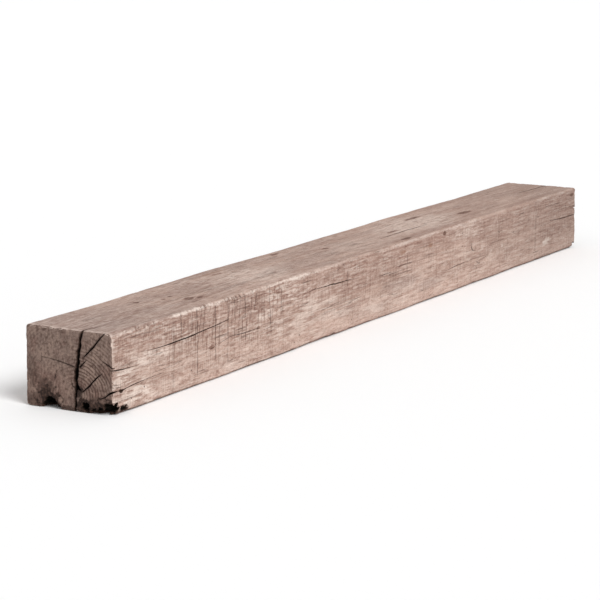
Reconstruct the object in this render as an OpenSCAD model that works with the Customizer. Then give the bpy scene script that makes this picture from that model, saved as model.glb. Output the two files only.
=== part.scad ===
// Used railway sleeper: one sawn hardwood timber, weathered, split at the ends and rotten
// along one lower edge, with the rail seats and spike holes in its underside.
// +X runs along the sleeper, +Z is up, and the origin is the middle of the underside.

/* [Timber] */
// Length of the sleeper
sleeper_l = 2438; // [2000:1:2750]
// Width of the sleeper
sleeper_w = 229; // [200:1:260]
// Height of the sleeper
sleeper_h = 178; // [150:1:210]
// Middling radius of the worn long edges
edge_r = 9; // [5:0.5:14]
// Radius that weather has given the edges of the two ends
end_r = 6; // [2:0.5:9]
// How far the two upright faces wander inside a straight line
wander = 4; // [0.5:0.5:5]
// Length of one slow wave along the timber
wave_l = 940; // [500:10:1400]

/* [Rail seats] */
// Distance between the middles of the two rail seats
rail_spacing = 1511; // [1300:1:1560]
// Length of a seat along the sleeper
seat_l = 356; // [300:1:380]
// Width of a seat across the sleeper
seat_w = 197; // [180:1:198]
// Depth to which the plates have worn into the timber
seat_cut = 4; // [1:0.5:6]

/* [Spike holes] */
// Diameter of a spike hole
spike_d = 16; // [12:0.5:20]
// Depth of a spike hole below the face of the timber
spike_depth = 130; // [90:1:140]
// Distance along the sleeper between the spike holes on the two sides of a rail
spike_gap = 156; // [140:1:180]
// Distance across the sleeper between the spike holes along a rail
spike_row_gap = 110; // [80:1:130]

/* [Splits and checks] */
// Widest opening of the split in an end
split_w = 10; // [6:0.5:14]
// How far the split runs into the timber
split_depth = 260; // [120:10:280]
// Widest opening of a radial check in an end
radial_w = 4; // [2:0.5:6]
// How far a radial check runs into the timber
radial_depth = 90; // [30:5:150]
// Widest opening of a check along a long face
face_check_w = 3.5; // [2:0.5:6]
// Depth of a check along a long face
face_check_depth = 18; // [8:1:24]

/* [Rot] */
// Radius of the largest rot pocket
rot_r = 16; // [8:0.5:20]
// How many times longer along the grain than wide a rot pocket is
rot_stretch = 2.2; // [1:0.1:3]

/* [Hidden] */

// Overrun of every cut past the surface that it opens
cut = 8;
timber_colour = [0.57, 0.46, 0.41];

// Places along the timber, on one rounded end, on one long edge and up one upright face
body_steps = 36;
end_steps = 3;
edge_steps = 5;
face_steps = 4;

turn = 360;
quarter = 90;
// A long edge is this share of its middling radius where it is sharpest, and swings by that share
edge_least_share = 0.6;
edge_swing_share = 0.8;
// The quick wave on top of the slow one: its length and its size
quick_length_share = 0.31;
quick_size_share = 0.35;

// The four long edges, by the signs of their Y and Z, and where each one's waves start, in degrees
edge_sides = [[1, 1], [-1, 1], [-1, -1], [1, -1]];
edge_phases = [75, 160, 250, 320];
// Where the waves of the two upright faces start, and how much they shift from bottom to top
face_phases = [20, 110];
face_twist = 130;

half_l = sleeper_l / 2;
half_w = sleeper_w / 2;
half_h = sleeper_h / 2;

// Each crack is a row of points seen from outside its face, from the left and the bottom:
// [share across, share up, share of the opening, share of the depth]
near_split_shares = [
    [0.66, 1.05, 0.50, 0.06], [0.61, 0.74, 0.75, 0.40], [0.594, 0.58, 0.90, 0.85],
    [0.585, 0.40, 1.00, 1.00], [0.575, 0.27, 0.90, 0.90], [0.57, 0.13, 0.60, 0.60],
    [0.56, -0.05, 0.65, 0.40],
];
near_notch_shares = [[0.58, 0.33, 0.90, 0.30], [0.61, 0.285, 0.70, 0.20], [0.64, 0.26, 0.10, 0.06]];
near_radial_shares = [
    [[0.90, 0.985, 0.30, 0.15], [0.79, 0.86, 1.00, 1.00], [0.665, 0.675, 0.20, 0.20]],
    [[0.70, 0.646, 0.15, 0.15], [0.615, 0.54, 0.80, 0.60]],
    [[0.87, 0.50, 0.20, 0.15], [0.76, 0.39, 0.90, 0.80], [0.642, 0.253, 0.30, 0.30]],
    [[1.02, 0.30, 0.60, 0.40], [0.90, 0.23, 0.80, 0.50], [0.84, 0.19, 0.10, 0.15]],
    [[0.887, 0.646, 0.10, 0.15], [0.95, 0.60, 0.70, 0.40], [1.02, 0.55, 0.60, 0.40]],
];
far_split_shares = [
    [0.42, 1.05, 0.45, 0.10], [0.45, 0.76, 0.70, 0.50], [0.47, 0.55, 0.80, 0.80],
    [0.46, 0.33, 0.70, 0.60], [0.49, 0.12, 0.20, 0.15],
];
far_radial_shares = [
    [[0.08, 0.66, 0.20, 0.15], [0.22, 0.60, 0.90, 0.80], [0.41, 0.50, 0.20, 0.20]],
    [[0.53, 0.52, 0.20, 0.20], [0.70, 0.66, 1.00, 0.90], [0.86, 0.83, 0.20, 0.15]],
    [[0.52, 0.35, 0.20, 0.20], [0.68, 0.26, 0.80, 0.60], [0.85, 0.20, 0.15, 0.15]],
    [[0.16, 0.16, 0.15, 0.15], [0.28, 0.23, 0.70, 0.50], [0.41, 0.34, 0.20, 0.20]],
];
right_check_shares = [
    [[0.036, 0.674, 0.2, 0.2], [0.091, 0.663, 1.0, 1.0], [0.154, 0.691, 0.9, 0.9], [0.19, 0.72, 0.2, 0.2]],
    [[-0.01, 0.56, 0.9, 0.9], [0.02, 0.545, 0.9, 0.9], [0.05, 0.515, 0.2, 0.2]],
    [[0.015, 0.281, 0.4, 0.4], [0.05, 0.30, 0.9, 0.9], [0.082, 0.322, 0.2, 0.2]],
    [[0.352, 0.736, 0.2, 0.2], [0.39, 0.72, 0.9, 0.8], [0.436, 0.70, 0.2, 0.2]],
    [[0.60, 0.42, 0.2, 0.2], [0.66, 0.45, 0.8, 0.7], [0.71, 0.46, 0.2, 0.2]],
];
left_check_shares = [
    [[0.10, 0.38, 0.2, 0.2], [0.17, 0.42, 1.0, 1.0], [0.26, 0.40, 0.7, 0.8], [0.31, 0.43, 0.2, 0.2]],
    [[0.42, 0.66, 0.2, 0.2], [0.50, 0.69, 0.8, 0.8], [0.57, 0.67, 0.2, 0.2]],
    [[0.74, 0.30, 0.2, 0.2], [0.83, 0.34, 1.0, 0.9], [0.93, 0.33, 0.2, 0.2]],
];
top_check_shares = [
    [[0.55, 0.34, 0.2, 0.2], [0.61, 0.36, 0.7, 0.6], [0.66, 0.35, 0.2, 0.2]],
    [[0.93, 0.46, 0.2, 0.2], [0.97, 0.44, 0.9, 0.8], [1.01, 0.43, 0.9, 0.8]],
];
bed_check_shares = [
    [[0.36, 0.44, 0.2, 0.2], [0.44, 0.47, 1.0, 1.0], [0.54, 0.46, 0.9, 1.0], [0.62, 0.50, 0.2, 0.2]],
];

// Rot pockets: [share across, share up, share of the largest radius]
near_rot_shares = [[0.28, 0.03, 1.0], [0.68, 0.08, 0.65], [0.85, 0.0, 0.9], [0.96, 0.09, 0.75]];
right_rot_shares = [[0.016, 0.05, 0.55], [0.0125, 0.28, 0.3], [0.39, 0.0, 0.45], [0.235, 0.0, 0.3]];
far_rot_shares = [[0.78, 0.02, 0.7]];

// A wave between 0 and 1 along the timber
function wave(x, phase) =
    (1 + (1 - quick_size_share) * sin(turn * x / wave_l + phase)
        + quick_size_share * sin(turn * x / (wave_l * quick_length_share) + phase + phase)) / 2;

// How far an upright face lies inside, at a place along it and a share of its height
function face_in(x, side, up_share) =
    wander * wave(x, face_phases[side > 0 ? 0 : 1] + face_twist * up_share);

// Radius of a long edge at a place along it
function worn_r(x, edge) = edge_r * (edge_least_share + edge_swing_share * wave(x, edge_phases[edge]));

// Middle of a long edge's curve, in Y and Z
function edge_mid(x, edge, inset) =
    let (side = edge_sides[edge], r = worn_r(x, edge), up_share = (side.y + 1) / 2)
    [side.x * (half_w - inset - face_in(x, side.x, up_share) - r),
     half_h + side.y * (half_h - inset - r)];

// The curve of a long edge
function edge_curve(x, edge, inset) =
    [for (i = [0 : edge_steps])
        let (angle = quarter * (edge + i / edge_steps))
        edge_mid(x, edge, inset) + worn_r(x, edge) * [cos(angle), sin(angle)]];

// The points up or down an upright face, between the edge curves that end at a and start at b
function face_points(x, a, b, inset) =
    let (side = edge_sides[a].x, from = edge_mid(x, a, inset).y, to = edge_mid(x, b, inset).y)
    [for (i = [1 : face_steps - 1])
        let (up = from + (to - from) * i / face_steps)
        [side * (half_w - inset - face_in(x, side, up / sleeper_h)), up]];

// Outline of the timber at a place along it
function outline(x, inset) = concat(
    edge_curve(x, 0, inset), edge_curve(x, 1, inset), face_points(x, 1, 2, inset),
    edge_curve(x, 2, inset), edge_curve(x, 3, inset), face_points(x, 3, 0, inset));

// Places along the timber, each with how far its outline is drawn in by the rounding of the end
function near_places() =
    [for (i = [0 : end_steps])
        let (angle = quarter * i / end_steps)
        [end_r * (1 - cos(angle)) - half_l, end_r * (1 - sin(angle))]];
function places() = concat(
    near_places(),
    [for (i = [1 : body_steps - 1]) [(half_l - end_r) * (i + i - body_steps) / body_steps, 0]],
    [for (i = [end_steps : -1 : 0]) [-near_places()[i].x, near_places()[i].y]]);

// A closed skin over rings of points that all have as many points, counterclockwise from ahead
module skin(rings) {
    count = len(rings[0]);
    last = len(rings) - 1;
    polyhedron(
        points = [for (ring = rings) each ring],
        faces = concat(
            [[for (k = [0 : count - 1]) k]],
            [[for (k = [count - 1 : -1 : 0]) last * count + k]],
            [for (i = [0 : last - 1], k = [0 : count - 1])
                let (here = i * count, ahead = here + count, next = (k + 1) % count)
                each [[here + k, ahead + k, ahead + next], [here + k, ahead + next, here + next]]]));
}

// The worn timber before it split
module blank() {
    skin([for (place = places()) [for (point = outline(place[0], place[1])) [place[0], point.x, point.y]]]);
}

// A wedge-shaped crack along a row of points on the face z = 0, which is size long and high
module crack(rows, size, opening, depth) {
    spots = [for (row = rows) [(row[0] - 0.5) * size.x, (row[1] - 0.5) * size.y]];
    last = len(rows) - 1;
    skin([for (i = [0 : last])
        let (
            along = spots[min(i + 1, last)] - spots[max(i - 1, 0)],
            across = [-along.y, along.x] / norm(along),
            deep = depth * rows[i][3],
            half = across * opening * rows[i][2] / 2 * (deep + cut) / deep
        )
        [concat(spots[i] + half, cut), concat(spots[i] - half, cut), concat(spots[i], -deep)]]);
}

// Rounded pockets of rot on the face z = 0, stretched as given
module pockets(rows, size, stretch) {
    for (row = rows)
        translate([(row[0] - 0.5) * size.x, (row[1] - 0.5) * size.y, 0])
            scale(stretch)
                sphere(rot_r * row[2], $fn = 16);
}

// The splits, checks and rot of the two ends, each seen from outside its end
module end_damage() {
    size = [sleeper_w, sleeper_h];
    along_grain = [1, 1, rot_stretch];
    translate([-half_l, 0, half_h]) rotate([90, 0, -90]) {
        crack(near_split_shares, size, split_w, split_depth);
        crack(near_notch_shares, size, split_w, split_depth);
        for (rows = near_radial_shares) crack(rows, size, radial_w, radial_depth);
        pockets(near_rot_shares, size, along_grain);
    }
    translate([half_l, 0, half_h]) rotate([90, 0, 90]) {
        crack(far_split_shares, size, split_w, split_depth);
        for (rows = far_radial_shares) crack(rows, size, radial_w, radial_depth);
        pockets(far_rot_shares, size, along_grain);
    }
}

// The checks and rot of the four long faces, each seen from outside its face
module face_damage() {
    upright = [sleeper_l, sleeper_h];
    level = [sleeper_l, sleeper_w];
    translate([0, -half_w, half_h]) rotate([90, 0, 0]) {
        for (rows = right_check_shares) crack(rows, upright, face_check_w, face_check_depth);
        pockets(right_rot_shares, upright, [rot_stretch, 1, 1]);
    }
    translate([0, half_w, half_h]) rotate([90, 0, 180])
        for (rows = left_check_shares) crack(rows, upright, face_check_w, face_check_depth);
    translate([0, 0, sleeper_h])
        for (rows = top_check_shares) crack(rows, level, face_check_w, face_check_depth);
    rotate([180, 0, 0])
        for (rows = bed_check_shares) crack(rows, level, face_check_w, face_check_depth);
}

// The timber with its damage, brought to its full size over its highest places
module timber() {
    resize([sleeper_l, sleeper_w, sleeper_h])
        difference() {
            blank();
            end_damage();
            face_damage();
        }
}

// One rail seat worn into the underside, with its four spike holes
module rail_seat() {
    translate([-seat_l / 2, -seat_w / 2, -cut]) cube([seat_l, seat_w, seat_cut + cut]);
    for (x = [-spike_gap / 2, spike_gap / 2], y = [-spike_row_gap / 2, spike_row_gap / 2])
        translate([x, y, -cut]) cylinder(d = spike_d, h = spike_depth + cut, $fn = 32);
}

module sleeper() {
    color(timber_colour)
        difference() {
            timber();
            for (x = [-rail_spacing / 2, rail_spacing / 2]) translate([x, 0, 0]) rail_seat();
        }
}

sleeper();
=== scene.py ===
import math
import bmesh
import bpy
import numpy as np
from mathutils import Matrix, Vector, noise


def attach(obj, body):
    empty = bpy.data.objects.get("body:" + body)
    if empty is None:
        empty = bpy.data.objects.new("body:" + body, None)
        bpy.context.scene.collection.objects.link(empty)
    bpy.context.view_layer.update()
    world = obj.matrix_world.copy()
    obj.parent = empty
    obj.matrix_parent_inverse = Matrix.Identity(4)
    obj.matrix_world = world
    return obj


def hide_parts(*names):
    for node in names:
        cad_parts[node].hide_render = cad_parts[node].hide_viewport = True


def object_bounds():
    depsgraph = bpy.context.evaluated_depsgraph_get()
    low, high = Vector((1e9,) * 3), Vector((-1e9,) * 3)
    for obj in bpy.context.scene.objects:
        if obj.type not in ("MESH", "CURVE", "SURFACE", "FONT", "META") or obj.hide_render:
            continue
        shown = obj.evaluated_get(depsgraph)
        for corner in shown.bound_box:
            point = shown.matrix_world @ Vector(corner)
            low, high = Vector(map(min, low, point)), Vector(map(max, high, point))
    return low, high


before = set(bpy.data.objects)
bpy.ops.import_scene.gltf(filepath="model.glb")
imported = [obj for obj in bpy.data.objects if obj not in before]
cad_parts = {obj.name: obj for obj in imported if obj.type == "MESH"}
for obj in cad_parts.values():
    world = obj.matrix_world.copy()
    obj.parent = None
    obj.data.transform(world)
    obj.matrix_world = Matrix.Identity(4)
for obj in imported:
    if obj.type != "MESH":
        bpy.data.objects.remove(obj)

cadLow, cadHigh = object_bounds()

mm = 0.001  # metres in a millimetre

# The sawn timber: its box comes from the frame, and x below is counted from the split near end
timber = {
    "length": cadHigh.x - cadLow.x,
    "width": cadHigh.y - cadLow.y,
    "height": cadHigh.z - cadLow.z,
    "edgeRadius": 9 * mm,        # middling radius of the long edges
    "nearCorner": (5 * mm, 90 * mm),  # more wear on the near top corner: how much, and how far along
    "edgeLeast": 0.6,
    "edgeSwing": 0.8,
    "endRadius": 6 * mm,
    "wander": 4 * mm,            # slow waves of the two upright faces
    "waveLength": 940 * mm,
    "quickLength": 0.31,
    "quickSize": 0.35,
    "edgePhases": {(1, 1): 75, (-1, 1): 160, (-1, -1): 250, (1, -1): 320},
    "facePhases": {1: 20, -1: 110},
    "faceTwist": 130,
    "nearStep": 5 * mm,          # mesh step along the timber at the near end
    "farStep": 18 * mm,
    "leastStep": 0.8 * mm,
    "nearReach": 330 * mm,       # how far the fine steps reach
    "coarseFrom": 1250 * mm,     # and where the coarse ones start
    "acrossSteps": 74,
    "upSteps": 58,
    "endFinish": 12 * mm,        # how far in from an end its finish may still be
}
halfLength = timber["length"] / 2
halfWidth = timber["width"] / 2
height = timber["height"]


def wave(x, phase):
    turn = 2 * math.pi * x / timber["waveLength"]
    start = np.radians(phase)
    slow = (1 - timber["quickSize"]) * np.sin(turn + start)
    quick = timber["quickSize"] * np.sin(turn / timber["quickLength"] + 2 * start)
    return (1 + slow + quick) / 2


def newObject(name, data):
    made = bpy.data.objects.new(name, data)
    bpy.context.scene.collection.objects.link(made)
    return made


def readAll(items, name):
    # Places or directions of a mesh's corners or faces, one in each row
    values = np.empty(len(items) * 3)
    items.foreach_get(name, values)
    return values.reshape(-1, 3)


def noiseAt(points, scale, seed):
    # Perlin noise from -1 to 1 at every point; scale is the size of a lump in metres along each axis
    spots = points / np.array(scale) + seed * 17.3
    return np.array([noise.noise(Vector(spot)) for spot in spots])


def smooth(value, low, high):
    share = np.clip((value - low) / (high - low), 0, 1)
    return share * share * (3 - 2 * share)


# Cross cuts of the saw on the near upright face: place from the near end, lowest and highest point
sawMarks = {
    "places": [
        (267, 118, 178), (332, 30, 178), (408, 44, 172), (461, 30, 178), (490, 130, 178), (536, 128, 172),
        (590, 140, 170), (650, 80, 175), (705, 100, 160), (1028, 110, 150), (1345, 95, 140),
    ],
    "depth": 0.8 * mm,
    "width": 2.4 * mm,
    "fades": (8, 4),             # how far a mark fades at its lower and upper end, in millimetres
    "reach": 8 * mm,             # only this near to the face
}
# Nicks in the near top edge: place from the near end, half width and depth
edgeNicks = {
    "rows": [
        (80, 4, 3), (95, 5, 4), (110, 7, 5), (127, 5, 4), (141, 4, 3), (165, 5, 3), (352, 5, 3), (368, 6, 5),
        (381, 4, 3), (452, 5, 3), (468, 5, 5), (482, 6, 4),
        (499, 5, 5), (516, 6, 5), (533, 5, 3), (575, 6, 4),
        (640, 5, 3), (866, 7, 4), (1046, 7, 5), (1290, 7, 3),
    ],
    "reach": 13 * mm,            # how far a nick runs down each face
    "deepest": 5,                # the depth at which a nick counts as 1
}


def nickShare(points):
    # 1 in the middle of a nick, 0 away from it
    down = np.maximum(points[:, 1] + halfWidth, height - points[:, 2])
    total = np.zeros(len(points))
    for place, half, depth in edgeNicks["rows"]:
        away = np.abs(points[:, 0] + halfLength - place * mm) / (half * mm)
        total = np.maximum(total, depth / edgeNicks["deepest"] * (1 - smooth(away, 0, 1)))
    return total * (1 - smooth(down, 0.4 * edgeNicks["reach"], edgeNicks["reach"]))


def lengthSteps():
    # Places along the timber: fine near the end that shows, coarse beyond, and fine at every saw mark
    places = [0.0]
    while places[-1] < timber["length"]:
        share = smooth(places[-1], timber["nearReach"], timber["coarseFrom"])
        share *= smooth(timber["length"] - places[-1], 0, 0.3 * timber["nearReach"])
        places.append(places[-1] + timber["nearStep"] + share * (timber["farStep"] - timber["nearStep"]))
    steps = np.array(places) * timber["length"] / places[-1]
    half = sawMarks["width"] / 2
    extra = [row[0] * mm + side * half for row in sawMarks["places"] for side in (-2, -1, 0, 1, 2)]
    extra += [(row[0] + side * row[1]) * mm for row in edgeNicks["rows"] for side in (-1, 0, 1)]
    rims = [timber["endRadius"] * share for share in (0.2, 0.5, 1)]
    rims += [timber["length"] - rim for rim in rims]
    steps = np.unique(np.concatenate([steps, extra, rims]))
    kept = [steps[0]]
    for step in steps[1:]:
        if step - kept[-1] > timber["leastStep"]:
            kept.append(step)
    kept[-1] = timber["length"]
    return np.array(kept) - halfLength


def boxGrid(xs, ys, zs):
    # The surface of a box as one closed net of quads
    count = (len(xs), len(ys), len(zs))
    index = -np.ones(count, int)
    onSkin = np.zeros(count, bool)
    for axis in range(3):
        for end in (0, -1):
            where = [slice(None)] * 3
            where[axis] = end
            onSkin[tuple(where)] = True
    index[onSkin] = np.arange(onSkin.sum())
    grid = np.stack(np.meshgrid(xs, ys, zs, indexing="ij"), -1)
    points = grid[onSkin]
    quads = []
    for axis in range(3):
        for end in (0, -1):
            net = np.take(index, end, axis)
            quad = np.stack([net[:-1, :-1], net[1:, :-1], net[1:, 1:], net[:-1, 1:]], -1).reshape(-1, 4)
            outward = (end == -1) != (axis == 1)
            quads.append(quad if outward else quad[:, ::-1])
    return points, np.concatenate(quads)


def edgeRadiusAt(points):
    # Radius of the long edge nearest to each point
    radius = np.zeros(len(points))
    for (sideY, sideZ), phase in timber["edgePhases"].items():
        here = (np.sign(points[:, 1] + 1e-9) == sideY) & (np.sign(points[:, 2] - height / 2 + 1e-9) == sideZ)
        swing = timber["edgeLeast"] + timber["edgeSwing"] * wave(points[:, 0], phase)
        if (sideY, sideZ) == (-1, 1):
            more, reach = timber["nearCorner"]
            swing = swing + more / timber["edgeRadius"] * smooth(reach - halfLength - points[:, 0], 0, reach)
        radius[here] = (timber["edgeRadius"] * swing)[here]
    return radius


def faceInset(points, side):
    upShare = points[:, 2] / height
    return timber["wander"] * wave(points[:, 0], timber["facePhases"][side] + timber["faceTwist"] * upShare)


def rounded(points):
    # Rounds the long edges, then the ends, and lets the upright faces wander
    middle = np.array([0, height / 2])
    half = np.array([halfWidth, height / 2])
    local = points[:, 1:] - middle
    shares = np.abs(local) / half
    level = np.maximum(shares.max(axis=1), 1e-9)
    widest = half[shares.argmax(axis=1)]
    rim = local / level[:, None]
    radius = edgeRadiusAt(points)[:, None]
    core = np.clip(rim, radius - half, half - radius)
    away = rim - core
    rim = core + away / np.maximum(np.linalg.norm(away, axis=1), 1e-9)[:, None] * radius

    turn = timber["endRadius"]
    inward = (1 - level) * widest
    fromEnd = halfLength - np.abs(points[:, 0])
    out = np.maximum(turn - np.stack([inward, fromEnd], 1), 0)
    onTurn = (out > 0).all(axis=1)
    arc = turn - out / np.maximum(np.linalg.norm(out, axis=1), 1e-9)[:, None] * turn
    inward = np.where(onTurn, arc[:, 0], inward)
    fromEnd = np.where(onTurn, arc[:, 1], fromEnd)

    placed = np.empty_like(points)
    placed[:, 0] = np.sign(points[:, 0]) * (halfLength - fromEnd)
    placed[:, 1:] = middle + rim * (1 - inward / widest)[:, None]
    for side in (1, -1):
        share = np.clip(side * placed[:, 1] / halfWidth, 0, 1)
        placed[:, 1] -= side * share * faceInset(placed, side)
    return placed


# Weathered relief, all of it cut inward: depth, then the size of a lump along and across the grain
relief = {
    "lumps": (1.6 * mm, 260 * mm, 50 * mm),
    "furrows": (1.1 * mm, 170 * mm, 8 * mm),
    "fibres": (0.6 * mm, 45 * mm, 4.5 * mm),
    "endLumps": (1.5 * mm, 16 * mm),
    "endGrit": (0.7 * mm, 5 * mm),
    "chips": (3.2 * mm, 22 * mm, 9 * mm),
    "chipsFromEnd": (4 * mm, 20 * mm),
    "chipPatches": (150 * mm, 60 * mm, 60 * mm),
    "dents": (1.8 * mm, 20 * mm),    # pressed into the underside by the ballast
}


def slantOf(outward):
    # 0 on a flat face, and more towards an edge
    return np.sort(np.abs(outward), axis=1)[:, 1]


def reliefAt(points, outward):
    onEnd = smooth(np.abs(outward[:, 0]), 0.5, 0.8)
    total = np.zeros(len(points))
    for seed, name in enumerate(("lumps", "furrows", "fibres")):
        depth, along, across = relief[name]
        rough = noiseAt(points, (along, across, across), seed + 1)
        cut = smooth(rough, -0.7, 0.7) if name == "lumps" else smooth(rough, -0.1, 0.6)
        onTop = smooth(outward[:, 2], 0.5, 0.9)
        total += depth * cut * (1 - onEnd) * (1 - 0.45 * onTop)
    for seed, name in enumerate(("endLumps", "endGrit")):
        depth, size = relief[name]
        total += depth * smooth(noiseAt(points, (size, size, size), seed + 5), -0.5, 0.7) * onEnd
    depth, size = relief["dents"]
    dented = smooth(noiseAt(points, (size, size, size), 8), 0.05, 0.6) * smooth(-outward[:, 2], 0.6, 0.95)
    nicked = edgeNicks["deepest"] * mm * nickShare(points) * smooth(slantOf(outward), 0.05, 0.5)
    return total + depth * dented + nicked + chipsAt(points, outward) + sawAt(points, outward)


def chipsAt(points, outward):
    # Splinters knocked out of the worn long edges
    depth, along, across = relief["chips"]
    onEdge = smooth(slantOf(outward), 0.2, 0.6)
    onEdge *= 0.35 + 0.65 * smooth(halfLength - np.abs(points[:, 0]), *relief["chipsFromEnd"])
    rough = noiseAt(points, (along, across, across), 9)
    rough += 0.6 * noiseAt(points, (along / 3, across, across), 10)
    broken = noiseAt(points, relief["chipPatches"], 11)
    return depth * smooth(rough + 0.5 * broken, 0.2, 0.9) * onEdge


def sawShare(points):
    # 1 in the middle of a saw mark, 0 away from it
    total = np.zeros(len(points))
    lowFade, highFade = sawMarks["fades"]
    for place, low, high in sawMarks["places"]:
        across = 1 - smooth(np.abs(points[:, 0] + halfLength - place * mm), 0, sawMarks["width"])
        up = smooth(points[:, 2], (low - lowFade) * mm, (low + lowFade) * mm)
        up *= 1 - smooth(points[:, 2], (high - highFade) * mm, high * mm)
        total = np.maximum(total, across * up)
    return total


def sawAt(points, outward):
    return sawMarks["depth"] * sawShare(points) * smooth(-outward[:, 1], 0.7, 0.95)


def buildTimber():
    xs = lengthSteps()
    ys = np.linspace(-halfWidth, halfWidth, timber["acrossSteps"] + 1)
    zs = np.linspace(0, height, timber["upSteps"] + 1)
    points, quads = boxGrid(xs, ys, zs)
    placed = rounded(points)
    mesh = bpy.data.meshes.new("sleeperTimber")
    mesh.from_pydata(placed.tolist(), [], quads.tolist())
    mesh.validate()
    outward = readAll(mesh.vertices, "normal")
    placed -= outward * reliefAt(placed, outward)[:, None]
    mesh.vertices.foreach_set("co", placed.ravel())
    mesh.update()
    print("timber blank:", len(xs), "steps,", len(quads) * 2, "triangles")
    return newObject("sleeperTimber", mesh)


# Cracks. A point is (across, up, opening, depth) in millimetres, seen from outside the face that it is on:
# across is counted from the left edge and up from the lower one.
nearEndCracks = [
    [(151, 182, 5, 12), (146, 160, 6, 40), (140, 131, 8, 90), (136, 103, 9.5, 180), (134, 80, 10, 220),
     (133, 61, 9, 220), (131, 44, 6.5, 180), (131, 22, 6, 120), (128, -6, 7, 90)],
    [(133, 60, 9, 70), (139, 51, 8, 50), (147, 47, 1, 8)],
    [(207, 177, 1.5, 6), (196, 166, 3.2, 25), (178, 145, 4, 60), (160, 127, 3, 40), (152, 119, 0.8, 10)],
    [(160, 115, 0.8, 8), (151, 106, 3, 40), (142, 97, 4, 60)],
    [(199, 90, 1, 8), (186, 80, 2.6, 30), (168, 62, 3, 50), (154, 50, 2.6, 40), (147, 44, 1.5, 20)],
    [(232, 54, 3.4, 20), (218, 49, 4, 30), (205, 40, 2.5, 20), (192, 34, 0.8, 8)],
    [(202, 116, 0.8, 5), (215, 110, 2.4, 12), (232, 99, 2.8, 14)],
    [(44, 111, 0.4, 2), (84, 107, 0.9, 4), (110, 102, 1.3, 8), (129, 97, 1.5, 12)],
    [(84, 86, 0.5, 3), (80, 74, 1.2, 7), (77, 64, 0.5, 3)],
    [(119, 70, 0.6, 3), (124, 56, 1.6, 9), (129, 50, 1.4, 9)],
]
farEndCracks = [
    [(94, 184, 4.5, 14), (99, 160, 6, 60), (97, 138, 6.5, 120), (104, 110, 8, 200), (102, 92, 7, 180),
     (107, 74, 6, 120), (105, 58, 5, 90), (110, 40, 3, 40), (108, 26, 0.9, 12)],
    [(-4, 121, 3, 16), (22, 114, 2.6, 30), (50, 108, 2.8, 60), (74, 99, 1.8, 30), (92, 90, 0.8, 10)],
    [(118, 93, 0.8, 10), (137, 101, 2.2, 40), (160, 118, 2.6, 70), (178, 127, 1.8, 30), (196, 146, 0.7, 8)],
    [(116, 60, 0.8, 10), (139, 53, 1.6, 24), (158, 45, 2.2, 40), (188, 40, 0.7, 8)],
    [(34, 22, 0.6, 6), (52, 36, 1.5, 24), (74, 46, 1.3, 20), (94, 58, 0.7, 8)],
    [(140, 168, 0.6, 4), (146, 150, 1.4, 12), (143, 134, 0.6, 4)],
]
nearFaceCracks = [
    [(96, 121, 0.8, 4), (158, 117, 1.4, 8), (222, 116, 2.8, 14), (320, 119, 3, 16), (409, 123, 2.4, 14),
     (462, 128, 0.8, 5)],
    [(-4, 99, 3, 14), (36, 96, 2.6, 12), (74, 94, 1.8, 8), (117, 91, 0.7, 4)],
    [(28, 50, 4, 14), (52, 53, 2.4, 12), (117, 56, 2, 10), (189, 57, 1.6, 8), (226, 57, 0.7, 4)],
    [(332, 69, 0.5, 2), (374, 71, 1, 4), (424, 80, 0.9, 4), (468, 87, 1.2, 5), (530, 84, 1.1, 5),
     (592, 85, 0.6, 3)],
    [(667, 117, 0.7, 3), (700, 116, 1.6, 7), (737, 115, 0.7, 3)],
    [(840, 131, 0.8, 4), (895, 129, 2, 10), (948, 128, 3.2, 14), (1010, 126, 2.6, 12), (1068, 124, 0.8, 4)],
    [(1160, 108, 0.7, 3), (1220, 110, 1.8, 8), (1300, 109, 0.7, 3)],
    [(1560, 63, 0.7, 3), (1640, 68, 1.8, 8), (1735, 70, 0.7, 3)],
    [(1725, 120, 1, 4), (1728, 104, 3, 9), (1734, 95, 3, 9), (1757, 90, 0.8, 4)],
    [(2250, 104, 0.7, 3), (2330, 100, 1.8, 8), (2444, 97, 2, 10)],
]
topCracks = [
    [(-4, 78, 4, 12), (14, 79, 2.4, 8), (40, 80, 0.8, 4)],
    [(1340, 78, 0.7, 3), (1487, 82, 2.4, 10), (1610, 80, 0.7, 3)],
    [(2260, 105, 0.8, 4), (2360, 100, 3, 14), (2444, 98, 3.2, 16)],
]
farFaceCracks = [
    [(244, 68, 0.8, 4), (415, 75, 3.4, 18), (634, 71, 2.6, 14), (756, 77, 0.8, 4)],
    [(1024, 117, 0.8, 4), (1219, 123, 2.8, 14), (1390, 119, 0.8, 4)],
    [(1804, 53, 0.8, 4), (2024, 60, 3.4, 16), (2267, 59, 0.8, 4)],
    [(60, 128, 0.7, 3), (190, 131, 2, 9), (300, 126, 0.7, 3)],
]
bedCracks = [
    [(878, 101, 0.8, 4), (1073, 108, 3.4, 18), (1317, 105, 3, 18), (1512, 114, 0.8, 4)],
]

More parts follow.
